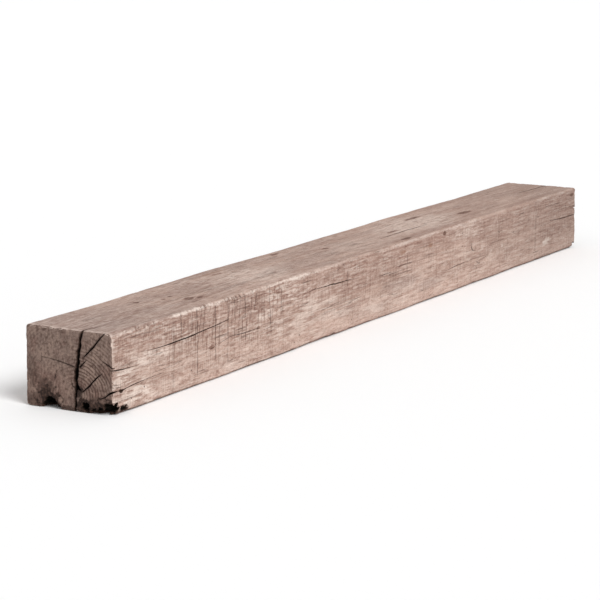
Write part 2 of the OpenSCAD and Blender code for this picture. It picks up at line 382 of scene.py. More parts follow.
# Where each face's cracks start and which way its across, up and outward directions run
faces = {
    "nearEnd": (nearEndCracks, (-halfLength, halfWidth, 0), (0, -1, 0), (0, 0, 1), (-1, 0, 0)),
    "farEnd": (farEndCracks, (halfLength, -halfWidth, 0), (0, 1, 0), (0, 0, 1), (1, 0, 0)),
    "nearFace": (nearFaceCracks, (-halfLength, -halfWidth, 0), (1, 0, 0), (0, 0, 1), (0, -1, 0)),
    "top": (topCracks, (-halfLength, -halfWidth, height), (1, 0, 0), (0, 1, 0), (0, 0, 1)),
    "farFace": (farFaceCracks, (halfLength, halfWidth, 0), (-1, 0, 0), (0, 0, 1), (0, 1, 0)),
    "bed": (bedCracks, (-halfLength, halfWidth, 0), (1, 0, 0), (0, -1, 0), (0, 0, -1)),
}
crackShape = {
    "step": 7 * mm,        # length of one ragged step of a crack
    "ragged": 0.35,        # how far the line strays, as a share of the opening
    "overrun": 5 * mm,     # how far a cutter stands out of the face
    "kneeDepth": 9 * mm,   # down to here a crack stays nearly as wide as at the face
    "longRow": 250,        # millimetres; a longer crack has coarser steps
    "coarser": 3,
    "strayLumps": (9 * mm, 9 * mm, 1),
    "swellLumps": (11 * mm, 11 * mm, 1),
}
crackLines = []            # middle line and half opening of each crack, for the dirt round it
pocketBoxes = []           # middle and half sizes of each pocket and spike hole, for the same
dirtAround = {
    "search": 12 * mm,     # points further from a crack aren't looked at
    "reach": 4.5 * mm,
}


def alongRow(row, step):
    # Adds points between a crack's own ones, so that its edges can be ragged
    row = np.array(row, float) * mm
    fine = [row[0]]
    for start, end in zip(row[:-1], row[1:]):
        count = max(1, int(np.linalg.norm(end[:2] - start[:2]) / step))
        fine += [start + (end - start) * i / count for i in range(1, count + 1)]
    return np.array(fine)


def crackCutter(name, row, origin, across, up, outward):
    # A closed wedge that follows the row, as wide as the opening at the face and sharp at its depth
    origin, across, up, outward = (np.array(v, float) for v in (origin, across, up, outward))
    longWay = np.ptp(np.array(row)[:, 0]) > crackShape["longRow"]
    fine = alongRow(row, crackShape["step"] * (crackShape["coarser"] if longWay else 1))
    flat = fine[:, :2]
    heading = np.gradient(flat, axis=0)
    heading /= np.linalg.norm(heading, axis=1)[:, None]
    sideways = np.stack([-heading[:, 1], heading[:, 0]], 1)
    seedPoints = np.column_stack([flat, np.full(len(flat), 0.31)])
    stray = noiseAt(seedPoints, crackShape["strayLumps"], 21) * crackShape["ragged"] * fine[:, 2]
    swell = 1 + 0.5 * noiseAt(seedPoints, crackShape["swellLumps"], 22)
    flat = flat + sideways * stray[:, None]
    half = (fine[:, 2] * swell / 2)[:, None] * sideways
    knee = np.minimum(crackShape["kneeDepth"], 0.4 * fine[:, 3])

    def inSpace(place, out):
        return origin + place[:, :1] * across + place[:, 1:] * up + out[:, None] * outward

    above = np.full(len(fine), crackShape["overrun"])
    rings = np.stack([
        inSpace(flat + half * 1.15, above), inSpace(flat - half * 1.15, above),
        inSpace(flat - half * 0.8, -knee), inSpace(flat, -fine[:, 3]), inSpace(flat + half * 0.8, -knee)], 1)
    turned = np.dot(np.cross(across, up), outward) < 0
    crackLines.append((inSpace(flat, 0 * knee), fine[:, 2] / 2))
    return closedSkin(name, rings, turned)


def closedSkin(name, rings, turned):
    count, sides = rings.shape[:2]
    quads = []
    for i in range(count - 1):
        for k in range(sides):
            here, ahead, nextSide = i * sides, (i + 1) * sides, (k + 1) % sides
            quads += [(here + k, here + nextSide, ahead + nextSide), (here + k, ahead + nextSide, ahead + k)]
    caps = [tuple(reversed(range(sides))), tuple((count - 1) * sides + k for k in range(sides))]
    shapes = quads + caps
    if turned:
        shapes = [tuple(reversed(shape)) for shape in shapes]
    mesh = bpy.data.meshes.new(name)
    mesh.from_pydata(rings.reshape(-1, 3).tolist(), [], shapes)
    return newObject(name, mesh)


def useInside(cutter, materials, chosen):
    # Every face of a cutter leaves this finish on the wood that it cuts
    for material in materials:
        cutter.data.materials.append(material)
    cutter.data.polygons.foreach_set("material_index", np.full(len(cutter.data.polygons), chosen, np.int32))


# Rot pockets: face, across, up, size along the grain, radius, seen from outside as the cracks are
rotPockets = {
    "rows": [
        ("nearEnd", 66, 11, 34, 17), ("nearEnd", 52, 3, 22, 10), ("nearEnd", 82, 2, 26, 11),
        ("nearEnd", 156, 13, 24, 11), ("nearEnd", 196, -1, 30, 17), ("nearEnd", 176, 4, 18, 10),
        ("nearEnd", 217, 13, 28, 17), ("nearEnd", 227, -2, 22, 13), ("nearFace", 40, 9, 18, 10),
        ("nearFace", 31, 50, 9, 5), ("nearFace", 953, 0, 20, 7), ("nearFace", 755, -1, 22, 6),
        ("nearFace", 573, -2, 16, 6), ("nearFace", 1932, 180, 16, 5), ("nearFace", 2436, -4, 30, 20),
        ("farEnd", 179, 3, 26, 11),
    ],
    "lumps": (9 * mm, 6 * mm, 6 * mm),
    "lumpy": 0.45,
}


def rotCutter(name, face, across, up, grain, radius):
    # A lumpy egg of missing wood, long along the grain
    origin, acrossWay, upWay = faces[face][1:4]
    middle = Vector(origin) + Vector(acrossWay) * across * mm + Vector(upWay) * up * mm
    bpy.ops.mesh.primitive_ico_sphere_add(subdivisions=4, radius=1, location=(0, 0, 0))
    egg = bpy.context.object
    egg.name = name
    half = np.array([grain, radius, radius])
    coords = readAll(egg.data.vertices, "co") * half * mm
    lumps = 1 + rotPockets["lumpy"] * noiseAt(coords + np.array(middle), rotPockets["lumps"], 31)
    coords = coords * lumps[:, None] + np.array(middle)
    pocketBoxes.append((np.array(middle), half * mm))
    egg.data.vertices.foreach_set("co", coords.ravel())
    egg.data.update()
    return egg


# The rail seats in the underside and their spike holes, as the CAD has them
railSeat = {
    "middles": (-755.5 * mm, 755.5 * mm),
    "size": (356 * mm, 197 * mm),
    "depth": 4 * mm,
    "spikeRadius": 8 * mm,
    "spikeDepth": 130 * mm,
    "spikeOffsets": (78 * mm, 55 * mm),
    "spikeSides": 24,
    "overrun": 4 * mm,
    "stain": 2 * mm,             # how far the dirt round a spike hole reaches
}


def seatCutters(name, middle):
    length, width = railSeat["size"]
    deep, over = railSeat["spikeDepth"], railSeat["overrun"]
    bpy.ops.mesh.primitive_cube_add(size=2, location=(middle, 0, 0))
    seat = bpy.context.object
    seat.name = name
    seat.scale = (length / 2, width / 2, railSeat["depth"])
    bpy.ops.object.transform_apply(location=True, scale=True)
    cutters = [seat]
    for x in (-1, 1):
        for y in (-1, 1):
            alongX, acrossY = middle + x * railSeat["spikeOffsets"][0], y * railSeat["spikeOffsets"][1]
            bpy.ops.mesh.primitive_cylinder_add(
                vertices=railSeat["spikeSides"], radius=railSeat["spikeRadius"], depth=deep + 2 * over,
                location=(alongX, acrossY, deep / 2 - over))
            bpy.ops.object.transform_apply(location=True)
            bpy.context.object.name = name + "Spike"
            mouth = np.array([alongX, acrossY, railSeat["depth"]])
            pocketBoxes.append((mouth, np.full(3, railSeat["spikeRadius"] + railSeat["stain"])))
            cutters.append(bpy.context.object)
    return cutters


def boxOf(cutter):
    coords = readAll(cutter.data.vertices, "co")
    return coords.min(0), coords.max(0)


def apart(cutter, other):
    (low, high), (otherLow, otherHigh) = boxOf(cutter), boxOf(other)
    return bool(np.any(low > otherHigh) or np.any(otherLow > high))


def cutAway(piece, cutters):
    # Cutters whose boxes don't meet are joined, so that one boolean cuts them all
    groups = []
    for cutter in cutters:
        for group in groups:
            if all(apart(cutter, other) for other in group):
                group.append(cutter)
                break
        else:
            groups.append([cutter])
    for group in groups:
        if len(group) > 1:
            with bpy.context.temp_override(active_object=group[0], selected_editable_objects=group):
                bpy.ops.object.join()
        modifier = piece.modifiers.new("cut", "BOOLEAN")
        modifier.operation = "DIFFERENCE"
        modifier.solver = "MANIFOLD"
        modifier.material_mode = "INDEX"
        modifier.object = group[0]
        with bpy.context.temp_override(object=piece, active_object=piece):
            bpy.ops.object.modifier_apply(modifier=modifier.name)
        bpy.data.objects.remove(group[0])
    print("cutters:", len(cutters), "in", len(groups), "groups")


def tidyFaces(mesh):
    # Splits the many-sided faces that the cutters leave, and drops the flat pairs among them
    work = bmesh.new()
    work.from_mesh(mesh)
    bmesh.ops.triangulate(work, faces=[face for face in work.faces if len(face.verts) > 4])
    seen = {}
    pairs = []
    for face in work.faces:
        corners = frozenset(face.verts)
        if corners in seen:
            pairs += [face, seen[corners]]
        seen[corners] = face
    bmesh.ops.delete(work, geom=pairs, context="FACES")
    work.to_mesh(mesh)
    work.free()
    print("flat pairs dropped:", len(pairs) // 2)


def depthBelow(points):
    # Metres below the sound face of the rounded timber, for the painted shade inside cracks and pockets
    radius = edgeRadiusAt(points)
    shifted = points.copy()
    for side in (1, -1):
        share = np.clip(side * points[:, 1] / halfWidth, 0, 1)
        shifted[:, 1] += side * share * faceInset(points, side)
    half = np.array([halfLength, halfWidth, height / 2])
    beyond = np.abs(shifted - np.array([0, 0, height / 2])) - half + radius[:, None]
    outside = np.linalg.norm(np.maximum(beyond, 0), axis=1)
    inside = np.minimum(beyond.max(axis=1), 0)
    return radius - outside - inside


def dirtBy(points):
    # 1 at the edge of a crack or pocket, fading out away from it
    closest = np.full(len(points), 1.0)
    for line, opening in crackLines:
        low, high = line.min(0) - dirtAround["search"], line.max(0) + dirtAround["search"]
        near = np.flatnonzero(((points > low) & (points < high)).all(axis=1))
        for start, end, wide in zip(line[:-1], line[1:], opening):
            along = end - start
            share = np.clip((points[near] - start) @ along / (along @ along), 0, 1)
            away = np.linalg.norm(points[near] - start - share[:, None] * along, axis=1) - wide
            closest[near] = np.minimum(closest[near], away)
    for middle, sizes in pocketBoxes:
        away = (np.linalg.norm((points - middle) / sizes, axis=1) - 1) * sizes.min()
        closest = np.minimum(closest, away)
    return 1 - smooth(closest, 0, dirtAround["reach"])


def makeSleeper(materials):
    piece = buildTimber()
    cutters = [rotCutter(f"rot{i}", *pocket) for i, pocket in enumerate(rotPockets["rows"])]
    for name, (rows, *placing) in faces.items():
        cutters += [crackCutter(f"{name}Crack{i}", row, *placing) for i, row in enumerate(rows)]
    for i, middle in enumerate(railSeat["middles"]):
        cutters += seatCutters(f"seat{i}", middle)
    mesh = piece.data
    for material in materials:
        mesh.materials.append(material)
    for cutter in cutters:
        inSeat = cutter.name.startswith("seat") and "Spike" not in cutter.name
        useInside(cutter, materials, 0 if inSeat else 2)
    cutAway(piece, cutters)
    tidyFaces(mesh)
    points = readAll(mesh.vertices, "co")
    saw = sawShare(points) * (points[:, 1] < sawMarks["reach"] - halfWidth)
    saw = np.maximum(saw, 0.9 * nickShare(points))
    values = {"depth": np.clip(depthBelow(points), 0, 50 * mm), "dirt": dirtBy(points), "saw": saw}
    for name, value in values.items():
        mesh.attributes.new(name, "FLOAT", "POINT").data.foreach_set("value", value)
    finishFaces(mesh)
    mesh.shade_smooth()
    mesh.set_sharp_from_angle(angle=math.radians(40))
    triangles = sum(len(face.vertices) - 2 for face in mesh.polygons)
    print("sleeper:", len(mesh.polygons), "faces,", triangles, "triangles")
    return piece


def finishFaces(mesh):
    # Material 0 on the long faces, 1 on the ends, and 2 where a cutter has been
    chosen = np.empty(len(mesh.polygons), np.int32)
    mesh.polygons.foreach_get("material_index", chosen)
    facesEnd = np.abs(readAll(mesh.polygons, "normal")[:, 0]) > 0.75
    atEnd = halfLength - np.abs(readAll(mesh.polygons, "center")[:, 0]) < timber["endFinish"]
    chosen[(chosen == 0) & facesEnd & atEnd] = 1
    mesh.polygons.foreach_set("material_index", chosen)
    mesh.update()
    print("faces of each finish:", np.bincount(chosen).tolist())


# Small helpers for the node trees. They add to the tree that begin was last given.
tree = None


def begin(nodeTree):
    global tree
    tree = nodeTree


def fill(made, inputs):
    # Links or sets the inputs of a node; a colour is given as three numbers
    for key, value in inputs.items():
        socket = made.inputs[key]
        if isinstance(value, bpy.types.NodeSocket):
            tree.links.new(value, socket)
        else:
            socket.default_value = (*value, 1) if socket.type == "RGBA" else value


def addNode(kind, inputs=None, **settings):
    made = tree.nodes.new("ShaderNode" + kind)
    for key, value in settings.items():
        setattr(made, key, value)
    fill(made, inputs or {})
    return made


def maths(operation, first, second=0.0):
    return addNode("Math", {0: first, 1: second}, operation=operation).outputs[0]


def plus(first, second):
    return maths("ADD", first, second)


def minus(first, second):
    return maths("SUBTRACT", first, second)


def times(first, second):
    return maths("MULTIPLY", first, second)


def most(first, second):
    return maths("MAXIMUM", first, second)


def gap(first, second=0.0):
    return maths("ABSOLUTE", minus(first, second))


def vectorMaths(operation, first, second=(0, 0, 0)):
    made = addNode("VectorMath", {0: first, 1: second}, operation=operation)
    return made.outputs["Value" if operation == "LENGTH" else "Vector"]


def ranged(value, low, high, toLow=0.0, toHigh=1.0):
    inputs = {"Value": value, "From Min": low, "From Max": high, "To Min": toLow, "To Max": toHigh}
    return addNode("MapRange", inputs, interpolation_type="SMOOTHSTEP").outputs["Result"]


def share(value, low, high, strength=1.0, where=None):
    # Grows from 0 to the strength as the value goes from low to high, only where it is wanted
    grown = ranged(value, low, high, 0, strength)
    return grown if where is None else times(grown, where)


def cloud(vector, scale, detail=3.0, roughness=0.5, distortion=0.0):
    inputs = {"Vector": vector, "Scale": scale, "Detail": detail, "Roughness": roughness}
    return addNode("TexNoise", inputs | {"Distortion": distortion}).outputs["Fac"]


def mixed(amount, first, second, blend="MIX"):
    return addNode("Mix", {0: amount, 6: first, 7: second}, data_type="RGBA", blend_type=blend).outputs[2]


def layers(colour, finish, rows):
    # Lays one colour of the finish after another over the first. A row is (amount, the colour's name, blend).
    for amount, paint, *blend in rows:
        colour = mixed(amount, colour, finish[paint], *blend)
    return colour


def sunk(rows):
    # A height for the bump, lower by each value times its weight
    total = 0.0
    for value, weight in rows:
        total = minus(total, times(value, weight))
    return total


def ramp(value, stops):
    made = addNode("ValToRGB", {"Fac": value})
    elements = made.color_ramp.elements
    while len(elements) < len(stops):
        elements.new(0.5)
    for element, (place, colour) in zip(elements, stops):
        element.position = place
        element.color = (*colour, 1)
    return made.outputs["Color"]


def newGroup(name, outputs, **inputs):
    # Begins a group that takes a place and the named sizes, and gives values
    begin(bpy.data.node_groups.new(name, "ShaderNodeTree"))
    tree.interface.new_socket("Vector", in_out="INPUT", socket_type="NodeSocketVector")
    for key, default in inputs.items():
        kind = "NodeSocketVector" if isinstance(default, tuple) else "NodeSocketFloat"
        tree.interface.new_socket(key, in_out="INPUT", socket_type=kind).default_value = default
    for key in outputs:
        tree.interface.new_socket(key, in_out="OUTPUT", socket_type="NodeSocketFloat")
    return tree.nodes.new("NodeGroupInput").outputs


def endGroup(**values):
    fill(tree.nodes.new("NodeGroupOutput"), values)
    return tree


def placed(group, **inputs):
    return addNode("Group", inputs, node_tree=group).outputs


def makeStreaks():
    # Noise drawn out along the grain: Along and Across are the size of a streak in metres
    given = newGroup("streaks", ["Value"], Along=0.3, Across=0.005, Detail=3.0, Distortion=0.0)
    size = addNode("CombineXYZ", {"X": given["Along"], "Y": given["Across"], "Z": given["Across"]}).outputs[0]
    drawn = vectorMaths("DIVIDE", given["Vector"], size)
    return endGroup(Value=cloud(drawn, 1, given["Detail"], 0.6, given["Distortion"]))


def makeBlot():
    # A soft ragged spot: 1 in its middle and 0 past its size
    sizes = {"Centre": (0, 0, 0), "Size": (0.01, 0.01, 0.01), "Ragged": 0.7, "Grain": 60.0, "Inner": 0.35}
    given = newGroup("blot", ["Mask"], **sizes)
    away = vectorMaths("SUBTRACT", given["Vector"], given["Centre"])
    away = vectorMaths("LENGTH", vectorMaths("DIVIDE", away, given["Size"]))
    stray = times(minus(cloud(given["Vector"], given["Grain"]), 0.5), given["Ragged"])
    return endGroup(Mask=ranged(plus(away, stray), 1.0, given["Inner"]))


# The heart of the log, round which the growth rings run, and how far it strays along the timber
rings = {
    "heart": (0, -22.5 * mm, 37 * mm),
    "drift": 50 * mm,
    "spacing": 7.2 * mm,
}


def makeRings():
    # Growth rings as a mask, the distance from the heart and the direction round it
    given = newGroup("growthRings", ["Ring", "Radius", "Turn"], Spacing=0.005, Waver=0.006)
    slow = vectorMaths("ADD", given["Vector"], (halfLength, 0, 0))
    slow = vectorMaths("MULTIPLY", slow, (1.3, 0, 0))
    drift = addNode("TexNoise", {"Vector": slow, "Scale": 1, "Detail": 0}).outputs["Color"]
    shift = vectorMaths("SUBTRACT", drift, (0.5, 0.5, 0.5))
    shift = vectorMaths("MULTIPLY", shift, (0, rings["drift"], rings["drift"]))
    away = vectorMaths("SUBTRACT", vectorMaths("SUBTRACT", given["Vector"], rings["heart"]), shift)
    away = vectorMaths("MULTIPLY", away, (0, 1, 1))
    wobble = cloud(vectorMaths("MULTIPLY", given["Vector"], (0.12, 1, 1)), 26)
    radius = plus(vectorMaths("LENGTH", away), times(minus(wobble, 0.5), given["Waver"]))
    band = maths("FRACT", maths("DIVIDE", radius, given["Spacing"]))
    ring = times(ranged(band, 0.3, 0.85), ranged(band, 1.0, 0.88))
    parts = addNode("SeparateXYZ", {0: away}).outputs
    return endGroup(Ring=ring, Radius=radius, Turn=maths("ARCTAN2", parts["Z"], parts["Y"]))


def makeCrackDirt():
    # Dirt along the edges of cracks and pockets, by the value kept in the mesh, broken up by noise
    given = newGroup("crackDirt", ["Mask"], Start=0.35, End=1.0, Grain=160.0)
    dirt = addNode("Attribute", attribute_name="dirt").outputs["Fac"]
    stray = times(minus(cloud(given["Vector"], given["Grain"]), 0.5), 0.8)
    return endGroup(Mask=ranged(plus(dirt, stray), given["Start"], given["End"]))


def insets(spot):
    # Distance inward from the nearer upright face, and from the nearer of top and underside
    parts = addNode("SeparateXYZ", {0: spot}).outputs
    return minus(halfWidth, gap(parts["Y"])), minus(height / 2, gap(parts["Z"], height / 2))


def makeEdgeRubAndHighlight():
    # 1 on the long edges, fading out over Width, for the pale wear and painted highlight along them
    given = newGroup("edgeRubAndHighlight", ["Mask"], Width=0.02)
    return endGroup(Mask=ranged(most(*insets(given["Vector"])), given["Width"], 0.0))


streaks, blot, growthRings = makeStreaks(), makeBlot(), makeRings()
crackDirt, edgeRubAndHighlight = makeCrackDirt(), makeEdgeRubAndHighlight()
print("shader groups:", len(bpy.data.node_groups))


def blots(spot, rowsByFace, grain=60.0, ragged=0.7, inner=0.35, inward=12):
    # The strongest of many blots at each place. A row is (across, up, reach across, reach up, strength) in
    # millimetres, counted on its face as the cracks are.
    total = 0.0
    look = {"Vector": spot, "Grain": grain, "Ragged": ragged, "Inner": inner}
    for face, rows in rowsByFace.items():
        origin, acrossWay, upWay, outward = (np.array(way) for way in faces[face][1:])
        for across, up, acrossReach, upReach, strength in rows:
            centre = origin + (acrossWay * across + upWay * up) * mm
            size = np.abs(acrossWay) * acrossReach + np.abs(upWay) * upReach + np.abs(outward) * inward
            mask = placed(blot, Centre=centre, Size=size * mm, **look)["Mask"]
            total = most(times(mask, strength), total)
    return total


def newMaterial(name, roughness, specular):
    material = bpy.data.materials.new(name)
    material.use_nodes = True
    begin(material.node_tree)
    fill(tree.nodes["Principled BSDF"], {"Roughness": roughness, "Specular IOR Level": specular})
    return material, addNode("TexCoord").outputs["Object"]


def endMaterial(colour, relief, distance):
    bump = addNode("Bump", {"Height": relief, "Strength": 1, "Distance": distance}).outputs["Normal"]
    fill(tree.nodes["Principled BSDF"], {"Base Color": colour, "Normal": bump})


# The long faces: bleached tan wood, sawn across and weathered along the grain
longFaces = {
    "pale": (0.592, 0.427, 0.358),
    "tan": (0.494, 0.346, 0.284),
    "brown": (0.380, 0.242, 0.194),
    "bleach": (0.752, 0.618, 0.543),
    # worn: pale worn wood, also laid on the edges as part of a painted highlight
    "worn": (0.815, 0.700, 0.625),
    "grey": (0.397, 0.297, 0.259),
    "dark": (0.085, 0.050, 0.038),
    "rust": (0.270, 0.135, 0.080),
    "pressed": (0.190, 0.125, 0.098),
    "knot": (0.115, 0.062, 0.046),
    "bleached": {
        "nearFace": [
            (140, 100, 120, 34, 1), (70, 34, 120, 30, 0.95), (200, 20, 120, 22, 0.7), (470, 24, 150, 16, 0.4),
            (24, 66, 30, 44, 0.9), (625, 108, 60, 14, 0.8), (945, 91, 70, 14, 1), (767, 65, 60, 12, 0.7),
            (914, 58, 80, 14, 0.9), (1000, 48, 90, 12, 0.7), (1230, 40, 260, 34, 0.4), (1858, 66, 16, 26, 1),
            (1800, 96, 12, 20, 0.8), (2233, 46, 40, 20, 1.2), (1930, 80, 14, 20, 0.7), (850, 96, 60, 14, 0.8),
            (1700, 150, 140, 26, 0.5), (700, 84, 60, 10, 0.7),
        ],
        "top": [
            (2101, 104, 14, 10, 1), (736, 110, 170, 110, 0.6), (1600, 115, 260, 110, 0.65),
            (1200, 100, 160, 70, 0.3),
        ],
    },
    "browned": {
        "nearFace": [
            (60, 150, 130, 26, 1), (330, 148, 160, 30, 0.9), (560, 146, 180, 26, 0.7),
            (1216, 146, 260, 22, 0.8), (1560, 130, 120, 30, 0.5), (2330, 110, 190, 80, 0.9),
            (2200, 160, 120, 22, 0.6), (820, 124, 150, 20, 0.6), (710, 15, 40, 8, 0.9),
            (344, 126, 11, 50, 1), (484, 150, 26, 28, 0.9), (657, 118, 9, 46, 1),
        ],
        "top": [
            (2380, 120, 140, 130, 0.5), (1129, 117, 60, 30, 0.8), (420, 60, 60, 40, 0.6),
            (1620, 170, 160, 30, 0.6), (860, 90, 200, 30, 0.5), (1900, 60, 200, 40, 0.5),
        ],
    },
    "knots": {
        "nearFace": [
            (391, 77, 17, 7, 0.9), (594, 85, 13, 5, 0.9), (1563, 166, 16, 9, 0.9), (2412, 160, 18, 7, 0.8),
        ],
        "top": [
            (412, 75, 24, 13, 1), (439, 62, 15, 7, 1), (413, 125, 10, 7, 1), (374, 119, 9, 6, 1),
            (312, 150, 10, 8, 1), (1678, 159, 60, 10, 1), (1460, 103, 50, 9, 0.7), (1378, 22, 40, 9, 1),
            (1844, 82, 50, 14, 0.8), (1001, 200, 26, 12, 0.7), (700, 180, 26, 10, 0.5),
            (1138, 128, 18, 9, 0.8),
        ],
    },
    "greyed": {
        "nearFace": [
            (1021, 51, 90, 20, 0.8), (1316, 72, 140, 26, 0.8), (1474, 47, 120, 22, 0.7),
            (1150, 30, 120, 16, 0.5),
        ],
        "top": [(70, 60, 120, 50, 0.6)],
    },
    "rusty": {
        "nearFace": [(1322, 152, 24, 8, 0.6), (1479, 146, 20, 8, 0.6)],
        "top": [(700, 196, 90, 8, 0.4)],
    },
    "streaked": {"nearFace": [(890, 70, 300, 70, 1)]},
    "sawn": {"nearFace": [(560, 110, 640, 110, 1)]},
    "deepSawn": {"nearFace": [(470, 125, 330, 80, 1)]},
    "regionInward": 30,          # millimetres that the last three reach into the timber
    "sawPitch": 8.5 * mm,
    "deepPitch": 17 * mm,
    "sawBow": -18 * mm,          # how far a saw line leans over from bottom to top
    "sawWaver": 26 * mm,
    "deepWaver": 22 * mm,
    "nearGrey": (0.42, 0.06),    # metres from the near end over which the top turns grey
    "pressedLines": (236 * mm, 2154 * mm),
    "pressedWidths": (9 * mm, 2 * mm),
    "pressedStray": 20 * mm,
    "faceFade": (12 * mm, 8 * mm),
    "endFade": (14 * mm, 3 * mm),
    "seatFade": (12 * mm, -6 * mm),
    "seatStray": 26 * mm,
    "turnOver": 5 * mm,          # half the strip on a long edge where the two finishes meet
    "rubAndHighlightWidth": 15 * mm,
    "bump": 2.2 * mm,
}


def makeLongFaces():
    material, spot = newMaterial("longFaces", 0.86, 0.2)
    finish = longFaces

    def streak(along, across, detail=3.0, distortion=0.0):
        sizes = {"Along": along, "Across": across, "Detail": detail, "Distortion": distortion}
        return placed(streaks, Vector=spot, **sizes)["Value"]

    def region(name, least):
        return most(blots(spot, finish[name], 8.0, inward=finish["regionInward"]), least)

    def fromNear(value, fade, strength=1.0):
        # Fades with the distance from the near end
        return share(value, fade[0] - halfLength, fade[1] - halfLength, strength)

    parts = addNode("SeparateXYZ", {0: spot}).outputs
    along, across = parts["X"], parts["Y"]
    fromSide, fromTop = insets(spot)
    upright = ranged(minus(fromTop, fromSide), -finish["turnOver"], finish["turnOver"])
    level = minus(1.0, upright)
    upShare = maths("DIVIDE", parts["Z"], height)
    mostlyUpright = ranged(upright, 0.0, 1.0, 0.4, 1.0)

    greyed = blots(spot, finish["greyed"], 26.0)
    streaked = region("streaked", 0.0)
    calm = ranged(most(greyed, streaked), 0.0, 1.0, 1.0, 0.55)
    nearer = times(ranged(along, 0.3, -0.6, 0.5, 1.0), calm)

    # broad colour: lighter low down on the upright faces, browner under their top edge, and grey in places
    stops = [(0.33, finish["brown"]), (0.5, finish["tan"]), (0.66, finish["pale"])]
    colour = ramp(streak(0.32, 0.05, 4, 0.6), stops)
    sway = times(minus(streak(0.16, 0.035, 3), 0.5), 0.9)
    swayed = plus(upShare, sway)
    browned = times(blots(spot, finish["browned"], 22.0), ranged(streak(0.12, 0.012), 0.3, 0.6))
    greyNoise = ranged(streak(0.2, 0.06, 3), 0.35, 0.65)
    nearGrey = fromNear(plus(along, times(sway, 0.5)), finish["nearGrey"], 0.6)
    bleached = times(blots(spot, finish["bleached"], 26.0), ranged(streak(0.03, 0.006, 4), 0.35, 0.53))
    colour = layers(colour, finish, [
        (share(swayed, 0.45, 0.85, 0.6, upright), "brown"),
        (share(swayed, 0.42, 0.08, 0.8, upright), "pale"),
        (times(browned, 0.75), "brown"),
        (times(times(level, ranged(along, -0.2, 0.6, 0.5, 0.25)), greyNoise), "grey"),
        (times(nearGrey, level), "grey"),
        (times(greyed, 0.8), "grey"),
        (bleached, "bleach"),
    ])

    # dashes, mottling, grain lines and fibres
    dash, mottle, speckle = streak(0.040, 0.0054, 1), streak(0.028, 0.012, 5), streak(0.010, 0.0042, 3)
    lines, fibres = streak(0.22, 0.0042, 4, 0.3), streak(0.04, 0.0014, 3)
    fineFibres = streak(0.016, 0.0007, 2)
    dashHere = ranged(streak(0.3, 0.08, 2), 0.42, 0.6, 0.3, 1.0)
    dashHere = times(ranged(along, 0.1, -0.8, 0.35, 1.0), dashHere)
    dashHere = times(times(most(dashHere, bleached), calm), mostlyUpright)
    paleHere = times(most(streaked, 0.25), upright)
    onSide = times(nearer, mostlyUpright)
    ring = placed(growthRings, Vector=spot, Spacing=rings["spacing"])["Ring"]
    hairs = ranged(gap(streak(0.9, 0.02, 2), 0.5), 0.006, 0.001)
    hairs = times(hairs, ranged(streak(0.09, 0.05, 1), 0.52, 0.6))
    colour = layers(colour, finish, [
        (share(dash, 0.53, 0.61, 0.8, dashHere), "worn"),
        (share(dash, 0.45, 0.35, 0.7, dashHere), "brown", "MULTIPLY"),
        (share(streak(0.11, 0.008, 2, 0.2), 0.5, 0.6, 0.7, paleHere), "bleach"),
        (share(mottle, 0.52, 0.74, 0.55, nearer), "brown", "MULTIPLY"),
        (share(mottle, 0.46, 0.3, 0.4, nearer), "bleach"),
        (share(speckle, 0.5, 0.72, 0.5, onSide), "brown", "MULTIPLY"),
        (share(speckle, 0.48, 0.3, 0.36, onSide), "bleach"),
        (times(ring, 0.12), "brown", "MULTIPLY"),
        (share(lines, 0.55, 0.74, 0.5), "brown", "MULTIPLY"),
        (share(fibres, 0.55, 0.8, 0.3), "dark"),
        (share(fineFibres, 0.5, 0.7, 0.35), "brown", "MULTIPLY"),
        (share(fineFibres, 0.5, 0.3, 0.22), "bleach"),
        (times(hairs, 0.5), "dark"),
    ])

    # marks of the saw, square to the grain
    chatter = streak(0.0042, 0.16, 2)
    sawPlace = plus(along, times(times(upShare, upShare), finish["sawBow"]))
    sawPlace = plus(sawPlace, times(streak(0.06, 0.2, 2), finish["sawWaver"]))
    sawPatch = times(ranged(streak(0.14, 0.07, 2), 0.36, 0.58), ranged(upright, 0.0, 1.0, 0.06, 1.0))
    sawHere = region("sawn", 0.55)
    sawLines = times(times(ranged(chatter, 0.57, 0.7), sawPatch), sawHere)
    teeth = ranged(maths("SINE", times(sawPlace, 2 * math.pi / finish["sawPitch"])), -0.2, 1.0)
    teeth = times(teeth, times(sawPatch, ranged(streak(0.05, 0.03, 3), 0.4, 0.62)))
    deepPlace = plus(sawPlace, times(streak(0.05, 0.4, 1), finish["deepWaver"]))
    deepTeeth = ranged(maths("SINE", times(deepPlace, 2 * math.pi / finish["deepPitch"])), 0.72, 0.98)
    deepPatch = times(ranged(streak(0.022, 0.045, 2), 0.42, 0.56), ranged(upShare, 0.1, 0.45, 0.15, 1.0))
    deepTeeth = times(times(deepTeeth, deepPatch), times(region("deepSawn", 0.3), upright))
    saw = addNode("Attribute", attribute_name="saw").outputs["Fac"]
    colour = layers(colour, finish, [
        (times(sawLines, 0.5), "brown", "MULTIPLY"),
        (times(teeth, 0.26), "brown", "MULTIPLY"),
        (times(deepTeeth, 0.6), "brown", "MULTIPLY"),
        (times(deepTeeth, 0.12), "dark"),
        (share(chatter, 0.42, 0.28, 0.35, times(sawHere, sawPatch)), "bleach"),
        (times(saw, ranged(streak(0.01, 0.012), 0.35, 0.55, 0.35, 0.9)), "dark"),
    ])
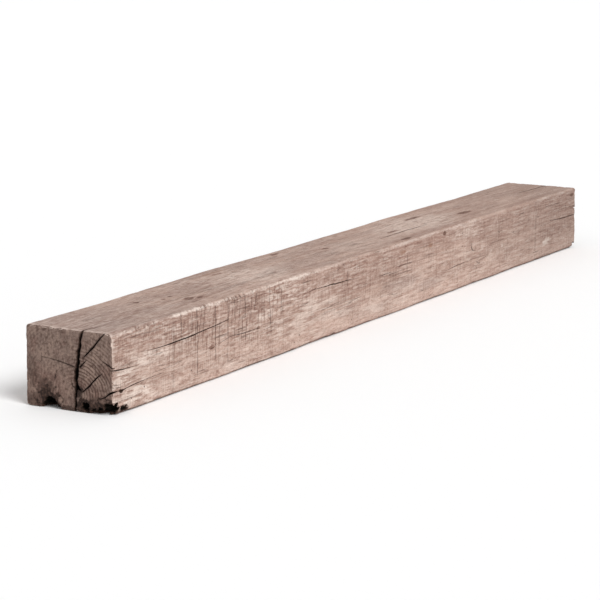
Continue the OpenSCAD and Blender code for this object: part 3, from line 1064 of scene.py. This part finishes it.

    # pale worn edges with a painted highlight along them, knots, stains, pits and pressed lines
    # the pale band along the long edges, strongest on the upper ones, is wear and a painted highlight
    rubAndHighlight = placed(edgeRubAndHighlight, Vector=spot, Width=finish["rubAndHighlightWidth"])["Mask"]
    onUpper = times(ranged(upShare, 0.4, 0.6, 0.35, 1.0), nearer)
    worn = plus(times(streak(0.035, 0.015, 4), 0.55), times(streak(0.009, 0.005, 3), 0.45))
    rubbedAndHighlit = plus(times(rubAndHighlight, 0.8), times(worn, 2.2))
    rubbedAndHighlit = plus(rubbedAndHighlit, ranged(streak(0.16, 0.3, 2), 0.4, 0.56, -0.22, 0.08))
    # the near end's rim, palest at the top, is wear and a painted highlight
    endRubAndHighlight = times(fromNear(along, finish["endFade"]), ranged(upShare, 0.55, 0.95, 0.45, 1.0))
    endWornAndHighlight = ranged(plus(times(worn, 0.6), times(streak(0.03, 0.03, 3), 0.4)), 0.4, 0.66, 0.15, 0.6)
    knots = ranged(streak(0.03, 0.004, 3), 0.36, 0.54, 0.35, 1.0)
    knots = times(blots(spot, finish["knots"], 110.0, 0.9), knots)
    ripple = ranged(maths("SINE", times(knots, 22)), 0.2, 0.9, 0.55, 1.0)
    pits = addNode("TexVoronoi", {"Vector": spot, "Scale": 42}).outputs
    chosen = ranged(addNode("SeparateColor", {0: pits["Color"]}).outputs["Red"], 0.7, 0.72)
    pitted = times(ranged(pits["Distance"], 0.12, 0.05), chosen)
    rows = [
        (share(rubbedAndHighlit, 1.42, 1.96, 0.82, onUpper), "worn"),
        (times(endRubAndHighlight, endWornAndHighlight), "bleach"),
        (share(knots, 0.02, 0.35, 0.6), "brown", "MULTIPLY"),
        (share(knots, 0.3, 0.75, 0.95, ripple), "knot"),
        (blots(spot, finish["rusty"], 70.0), "rust"),
        (times(pitted, 0.8), "dark"),
    ]
    onNear = times(upright, ranged(across, *(fade - halfWidth for fade in finish["faceFade"])))
    for fromEnd in finish["pressedLines"]:
        stray = times(minus(streak(0.02, 0.02, 4), 0.5), finish["pressedStray"])
        mark = ranged(plus(gap(along, fromEnd - halfLength), stray), *finish["pressedWidths"])
        mark = times(mark, ranged(streak(0.03, 0.02, 3), 0.4, 0.56))
        rows.append((times(times(mark, onNear), 0.22), "dark"))
    colour = layers(colour, finish, rows)
    farDark = ranged(along, 0.25, halfLength, 1.0, 0.72)
    farDark = plus(farDark, share(along, 0.2, 0.8, 0.09, level))
    shade = addNode("CombineColor", {0: farDark, 1: farDark, 2: farDark}).outputs[0]
    colour = mixed(1.0, colour, shade, "MULTIPLY")

    # the underside is dirtier, and rusty in the rail seats; dirt lies round the cracks everywhere
    under = times(level, ranged(upShare, 0.4, 0.2))
    rows = [
        (share(cloud(spot, 48, 4, 0.65), 0.5, 0.66, 0.6, under), "dark"),
        (times(under, ranged(streak(0.08, 0.05, 4), 0.3, 0.6, 0.3, 0.75)), "brown", "MULTIPLY"),
    ]
    for middle in railSeat["middles"]:
        alongSeat = minus(gap(along, middle), railSeat["size"][0] / 2)
        acrossSeat = minus(gap(across), railSeat["size"][1] / 2)
        outOfSeat = plus(most(alongSeat, acrossSeat), times(sway, finish["seatStray"]))
        stained = times(under, ranged(outOfSeat, *finish["seatFade"]))
        rows.append((times(stained, ranged(streak(0.05, 0.03, 4), 0.3, 0.6, 0.35, 0.9)), "pressed"))
        rows.append((share(streak(0.03, 0.012, 4), 0.5, 0.68, 0.5, stained), "rust"))
    rows.append((times(placed(crackDirt, Vector=spot, Start=0.45, End=1.1)["Mask"], 0.75), "dark"))
    relief = sunk([
        (lines, 0.9), (fibres, 0.7), (fineFibres, 0.25), (ring, 0.1), (sawLines, 0.4), (teeth, 0.3),
        (deepTeeth, 0.6), (plus(hairs, pitted), 0.8), (mottle, 0.5),
    ])
    endMaterial(layers(colour, finish, rows), relief, finish["bump"])
    return material


# The ends: grey-brown end grain with growth rings, rays and rot
endGrain = {
    "grey": (0.212, 0.149, 0.124),
    "red": (0.195, 0.114, 0.092),
    "light": (0.324, 0.229, 0.185),
    "late": (0.085, 0.050, 0.040),
    "rot": (0.018, 0.011, 0.009),
    "crumb": (0.070, 0.040, 0.030),
    "reddened": {"nearEnd": [(60, 40, 90, 70, 0.8), (190, 20, 60, 40, 0.7), (120, 70, 40, 30, 0.4)]},
    "lightened": {
        "nearEnd": [
            (160, 92, 30, 28, 1), (180, 74, 26, 20, 0.9), (93, 20, 14, 12, 1), (110, 60, 26, 40, 0.5),
            (70, 88, 60, 14, 0.4), (20, 30, 20, 30, 0.4),
        ],
    },
    "ringed": {"nearEnd": [(175, 80, 80, 90, 1)]},
    "rotten": {
        "nearEnd": [
            (64, 16, 38, 40, 0.95), (155, 12, 28, 26, 0.95), (205, 6, 46, 34, 0.95), (30, 16, 34, 22, 0.55),
            (110, 0, 70, 12, 0.7), (138, 46, 12, 18, 0.9), (52, 44, 30, 24, 0.5), (190, 24, 40, 16, 0.5),
            (22, 70, 16, 40, 0.35),
        ],
    },
    "waver": 9 * mm,
    "bump": 1.4 * mm,
}


def makeEndGrain():
    material, spot = newMaterial("endGrain", 0.9, 0.15)
    finish = endGrain

    def clouds(scale, detail=3.0, vector=spot):
        return cloud(vector, scale, detail, 0.6)

    ring = placed(growthRings, Vector=spot, Spacing=rings["spacing"], Waver=finish["waver"])
    patchy = most(ranged(clouds(14, 2), 0.42, 0.64, 0.08, 0.6), blots(spot, finish["ringed"], 20.0))
    turned = addNode("CombineXYZ", {"X": times(ring["Turn"], 26), "Y": times(ring["Radius"], 26)}).outputs[0]
    rays, spots, grit = clouds(1.6, 4, turned), clouds(120, 4), clouds(520)
    strokes = clouds(230, 3, vectorMaths("MULTIPLY", spot, (1, 1, 0.22)))
    colour = ramp(clouds(24, 5), [(0.28, finish["red"]), (0.5, finish["grey"]), (0.75, finish["light"])])
    colour = layers(colour, finish, [
        (times(blots(spot, finish["reddened"], 30.0), 0.7), "red"),
        (times(blots(spot, finish["lightened"], 60.0), 0.7), "light"),
        (times(ring["Ring"], patchy), "late"),
        (share(rays, 0.56, 0.72, 0.6), "late"),
        (share(rays, 0.44, 0.3, 0.4), "light"),
        (share(strokes, 0.52, 0.68, 0.6), "late"),
        (share(strokes, 0.46, 0.32, 0.45), "light"),
        (share(spots, 0.51, 0.66, 0.7), "late"),
        (share(spots, 0.46, 0.34, 0.6), "light"),
        (share(grit, 0.5, 0.75, 0.4), "late"),
    ])
    rotColour = mixed(ranged(clouds(170, 3), 0.42, 0.64), finish["rot"], finish["crumb"])
    colour = mixed(blots(spot, finish["rotten"], 90.0, 1.9, 0.62), colour, rotColour)
    dirt = placed(crackDirt, Vector=spot, Start=0.4, End=1.15)["Mask"]
    colour = mixed(times(dirt, 0.6), colour, finish["rot"])
    relief = sunk([(ring["Ring"], 0.35), (rays, 0.8), (grit, 0.4), (strokes, 0.5)])
    endMaterial(colour, relief, finish["bump"])
    return material


# Inside the cracks, rot pockets and spike holes: dark wood, darkened further by painted shade that turns near
# black with depth
innerWood = {
    "mouth": (0.050, 0.029, 0.022),
    "fibre": (0.125, 0.072, 0.053),
    # deep: the painted shade at the bottom of cracks and pockets
    "deep": (0.004, 0.003, 0.002),
    "shadeFrom": 1 * mm,           # depth at which the painted shade begins, and where it is darkest
    "shadeDarkestAt": 8 * mm,
    "bump": 2 * mm,
}


def makeInnerWood():
    material, spot = newMaterial("innerWood", 0.95, 0.1)
    finish = innerWood
    depth = addNode("Attribute", attribute_name="depth").outputs["Fac"]
    fibres = placed(streaks, Vector=spot, Along=0.03, Across=0.002)["Value"]
    colour = mixed(ranged(fibres, 0.45, 0.7), finish["mouth"], finish["fibre"])
    # painted shade: the inside darkens to near black with depth below the face
    colour = mixed(ranged(depth, finish["shadeFrom"], finish["shadeDarkestAt"]), colour, finish["deep"])
    endMaterial(colour, fibres, finish["bump"])
    return material


sleeper = makeSleeper([makeLongFaces(), makeEndGrain(), makeInnerWood()])
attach(sleeper, "root")
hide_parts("sleeper")

# The camera stands where the photograph's did, off the near end and the face on the right
view = {
    "azimuth": -56.96,           # degrees, of the photograph's own view
    "elevation": 13.58,
    "distance": 4.897,           # from the near top corner, along the view
    "aside": (0.1087, -0.1499),  # of that corner, right and up
    "aim": (-0.234, 0, 0.073),
    "lens": 141,
}


def addCamera():
    azimuth, elevation = math.radians(view["azimuth"]), math.radians(view["elevation"])
    right = Vector((math.cos(azimuth), math.sin(azimuth), 0))
    level = Vector((math.sin(azimuth), -math.cos(azimuth), 0))
    back = level * math.cos(elevation) + Vector((0, 0, math.sin(elevation)))
    up = back.cross(right)
    corner = Vector((-halfLength, -halfWidth, height))
    camera = newObject("camera", bpy.data.cameras.new("camera"))
    camera.location = corner + back * view["distance"] + right * view["aside"][0] + up * view["aside"][1]
    camera.rotation_mode = "QUATERNION"
    camera.rotation_quaternion = (Vector(view["aim"]) - camera.location).to_track_quat("-Z", "Y")
    camera.data.sensor_width = 36
    camera.data.lens = view["lens"]
    bpy.context.scene.camera = camera


addCamera()

# Lights and the white studio round the sleeper
studio = {
    "floorSize": 40,
    "floorColour": (0.96, 0.96, 0.96),
    "floorRoughness": 0.9,
    "sunStrength": 2.2,
    "sunAngle": 28,             # degrees across, for soft shadows
    "sunFrom": (-0.35, -0.8, 0.85),
    "skyStrength": 0.55,
}


def addStudio():
    bpy.ops.mesh.primitive_plane_add(size=studio["floorSize"], location=(0, 0, 0))
    floor = bpy.context.object
    floor.name = "floor"
    material = bpy.data.materials.new("floor")
    material.use_nodes = True
    begin(material.node_tree)
    look = {"Base Color": studio["floorColour"], "Roughness": studio["floorRoughness"]}
    fill(tree.nodes["Principled BSDF"], look)
    floor.data.materials.append(material)
    sun = newObject("sun", bpy.data.lights.new("sun", "SUN"))
    sun.data.energy = studio["sunStrength"]
    sun.data.angle = math.radians(studio["sunAngle"])
    sun.rotation_mode = "QUATERNION"
    sun.rotation_quaternion = Vector(studio["sunFrom"]).to_track_quat("Z", "Y")
    world = bpy.data.worlds.new("studio")
    bpy.context.scene.world = world
    world.use_nodes = True
    begin(world.node_tree)
    path = addNode("LightPath").outputs
    seen = most(path["Is Camera Ray"], most(path["Is Glossy Ray"], path["Is Transmission Ray"]))
    strength = addNode("MapRange", {"Value": seen, "To Min": studio["skyStrength"], "To Max": 1.0})
    fill(tree.nodes["Background"], {"Color": (1, 1, 1), "Strength": strength.outputs["Result"]})


addStudio()
bpy.context.scene.view_settings.view_transform = "Standard"
